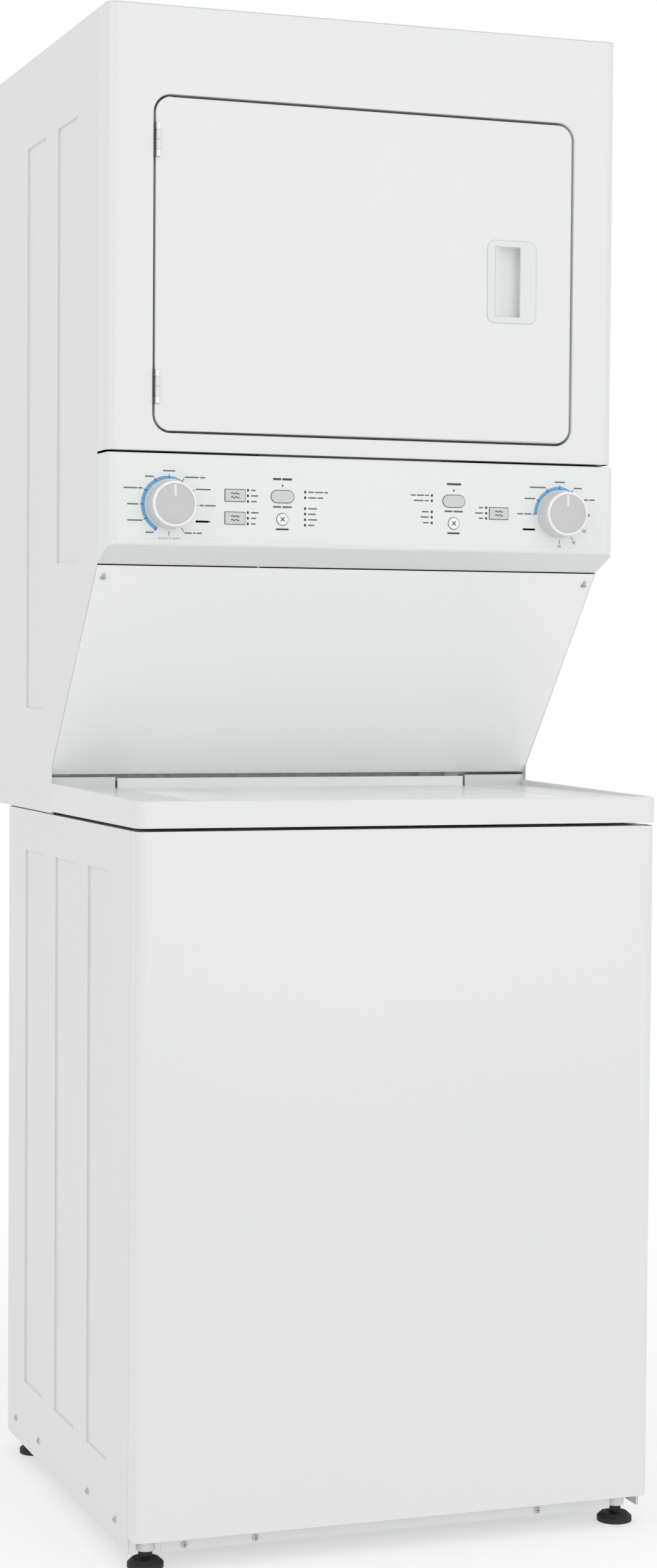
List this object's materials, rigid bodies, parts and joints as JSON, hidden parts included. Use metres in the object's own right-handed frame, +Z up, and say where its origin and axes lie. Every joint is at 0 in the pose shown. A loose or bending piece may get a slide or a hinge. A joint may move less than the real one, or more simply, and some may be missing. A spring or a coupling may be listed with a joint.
{
  "type": "washer dryer stack",
  "caption": "Stacked laundry centre: top-load washer below, front-load dryer above, with a console of knobs and push buttons between them.",
  "frame": {"origin": "on the floor under the middle of the stack: bottom centre of its bounding box", "axes": "+Z up; +Y towards the back, so the front faces -Y; +X to the right of a person facing the front"},
  "size_m": [0.6908, 0.787, 1.92],
  "materials": {
    "cabinet_enamel": "smooth white appliance enamel",
    "lid_enamel": "smooth white appliance enamel",
    "console_plastic": "fine satin moulded plastic",
    "knob_plastic": "satin grey plastic",
    "button_plastic": "satin grey plastic",
    "handle_plastic": "light grey moulded plastic",
    "galvanised_steel": "zinc plated sheet with a faint spangle",
    "tub_plastic": "natural white polypropylene",
    "basket_steel": "brushed stainless steel",
    "agitator_plastic": "pale grey polypropylene",
    "foot_rubber": "black moulded rubber",
    "belt_rubber": "black ribbed belt rubber",
    "motor_steel": "dark lacquered steel",
    "pulley_aluminium": "die cast",
    "circuit_board": "green solder mask",
    "pump_plastic": "black moulded plastic",
    "valve_plastic": "glass filled white plastic",
    "filter_plastic": "blue grey plastic frame with mesh",
    "drum_enamel": "powder coated steel",
    "duct_steel": "zinc plated pipe",
    "blower_plastic": "dark moulded plastic",
    "hinge_steel": "bright plated steel",
    "screw_steel": "zinc plated steel",
    "seal_felt": "grey felt",
    "liner_plastic": "white moulded liner"
  },
  "bodies": {
    "cabinet": {"base_frame": "galvanised_steel", "levelling_feet": "foot_rubber", "washer_left_side": "cabinet_enamel", "washer_right_side": "cabinet_enamel", "washer_rear_panel": "galvanised_steel", "washer_front_panel": "cabinet_enamel", "washer_top": "cabinet_enamel", "lid_hinge_pins": "hinge_steel", "bleach_dispenser": "tub_plastic", "outer_tub": "tub_plastic", "tub_ring": "tub_plastic", "suspension_rods": "galvanised_steel", "gearcase": "pulley_aluminium", "washer_belt": "belt_rubber", "washer_motor": "motor_steel", "drain_pump": "pump_plastic", "inlet_valve": "valve_plastic", "dryer_left_side": "cabinet_enamel", "dryer_right_side": "cabinet_enamel", "dryer_top_panel": "cabinet_enamel", "dryer_rear_panel": "galvanised_steel", "dryer_front_panel": "cabinet_enamel", "access_panel": "cabinet_enamel", "cabinet_screws": "screw_steel", "dryer_base_shelf": "galvanised_steel", "control_panel": "console_plastic", "control_board": "circuit_board", "front_bulkhead": "galvanised_steel", "rear_bulkhead": "galvanised_steel", "heater_box": "galvanised_steel", "drum_belt": "belt_rubber", "dryer_motor": "motor_steel", "blower_housing": "blower_plastic", "exhaust_duct": "duct_steel", "door_hinges": "hinge_steel"},
    "lid": {"washer_lid": "lid_enamel"},
    "basket": {"wash_basket": "basket_steel", "balance_ring": "tub_plastic", "drive_pulley": "pulley_aluminium"},
    "agitator": {"agitator": "agitator_plastic"},
    "washer_rotor": {"washer_motor_pulley": "pulley_aluminium"},
    "door": {"door_outer": "cabinet_enamel", "door_inner": "liner_plastic", "door_handle": "handle_plastic", "door_seal": "seal_felt"},
    "washer_dial": {"washer_knob": "knob_plastic"},
    "dryer_dial": {"dryer_knob": "knob_plastic"},
    "soil_key": {"soil_button": "button_plastic"},
    "temperature_key": {"temperature_button": "button_plastic"},
    "washer_start_key": {"washer_start_button": "button_plastic"},
    "washer_cancel_key": {"washer_cancel_button": "button_plastic"},
    "dryer_start_key": {"dryer_start_button": "button_plastic"},
    "dryer_cancel_key": {"dryer_cancel_button": "button_plastic"},
    "dryness_key": {"dryness_button": "button_plastic"},
    "filter": {"lint_filter": "filter_plastic"},
    "drum": {"dryer_drum": "drum_enamel", "drum_baffles": "agitator_plastic"},
    "idler": {"idler_pulley": "pump_plastic"},
    "dryer_rotor": {"motor_pulley": "hinge_steel", "blower_wheel": "blower_plastic"}
  },
  "joints": [
    {"name": "door_swing", "type": "hinge", "parent": "cabinet", "child": "door", "pos_m": [-0.27875, -0.2495, 1.6015], "axis": [0, 0, -1], "range_deg": [0, 170]},
    {"name": "lid_swing", "type": "hinge", "parent": "cabinet", "child": "lid", "pos_m": [0, 0.0365, 0.927], "axis": [-1, 0, 0], "range_deg": [0, 45]},
    {"name": "washer_knob_turn", "type": "hinge", "parent": "cabinet", "child": "washer_dial", "pos_m": [-0.265, -0.2568, 1.303], "axis": [0, -1, 0], "continuous": true},
    {"name": "dryer_knob_turn", "type": "hinge", "parent": "cabinet", "child": "dryer_dial", "pos_m": [0.265, -0.2568, 1.303], "axis": [0, -1, 0], "continuous": true},
    {"name": "soil_press", "type": "slide", "parent": "cabinet", "child": "soil_key", "axis": [0, 1, 0], "range_m": [0, 0.0012], "stiffness_N_per_m": 500},
    {"name": "temperature_press", "type": "slide", "parent": "cabinet", "child": "temperature_key", "axis": [0, 1, 0], "range_m": [0, 0.0012], "stiffness_N_per_m": 500},
    {"name": "washer_start_press", "type": "slide", "parent": "cabinet", "child": "washer_start_key", "axis": [0, 1, 0], "range_m": [0, 0.0012], "stiffness_N_per_m": 500},
    {"name": "washer_cancel_press", "type": "slide", "parent": "cabinet", "child": "washer_cancel_key", "axis": [0, 1, 0], "range_m": [0, 0.0012], "stiffness_N_per_m": 500},
    {"name": "dryer_start_press", "type": "slide", "parent": "cabinet", "child": "dryer_start_key", "axis": [0, 1, 0], "range_m": [0, 0.0012], "stiffness_N_per_m": 500},
    {"name": "dryer_cancel_press", "type": "slide", "parent": "cabinet", "child": "dryer_cancel_key", "axis": [0, 1, 0], "range_m": [0, 0.0012], "stiffness_N_per_m": 500},
    {"name": "dryness_press", "type": "slide", "parent": "cabinet", "child": "dryness_key", "axis": [0, 1, 0], "range_m": [0, 0.0012], "stiffness_N_per_m": 500},
    {"name": "filter_lift", "type": "slide", "parent": "cabinet", "child": "filter", "axis": [0, 0, 1], "range_m": [0, 0.11]},
    {"name": "drum_spin", "type": "hinge", "parent": "cabinet", "child": "drum", "pos_m": [0, 0.0765, 1.6015], "axis": [0, -1, 0], "continuous": true},
    {"name": "dryer_rotor_spin", "type": "hinge", "parent": "cabinet", "child": "dryer_rotor", "pos_m": [0.215, -0.0935, 1.29], "axis": [0, -1, 0], "continuous": true},
    {"name": "idler_spin", "type": "hinge", "parent": "cabinet", "child": "idler", "pos_m": [0.26808, 0.0475, 1.36106], "axis": [0, -1, 0], "continuous": true},
    {"name": "basket_spin", "type": "hinge", "parent": "cabinet", "child": "basket", "pos_m": [0, -0.0935, 0.5], "axis": [0, 0, 1], "continuous": true},
    {"name": "agitator_turn", "type": "hinge", "parent": "basket", "child": "agitator", "pos_m": [0, -0.0935, 0.5], "axis": [0, 0, 1], "continuous": true},
    {"name": "washer_rotor_spin", "type": "hinge", "parent": "cabinet", "child": "washer_rotor", "pos_m": [0.17, -0.0935, 0.23], "axis": [0, 0, 1], "continuous": true}
  ],
  "couplings": [
    {"joint": "dryer_rotor_spin", "follows": "drum_spin", "ratio": 20.379},
    {"joint": "idler_spin", "follows": "drum_spin", "ratio": -12.968},
    {"joint": "washer_rotor_spin", "follows": "basket_spin", "ratio": 5}
  ]
}
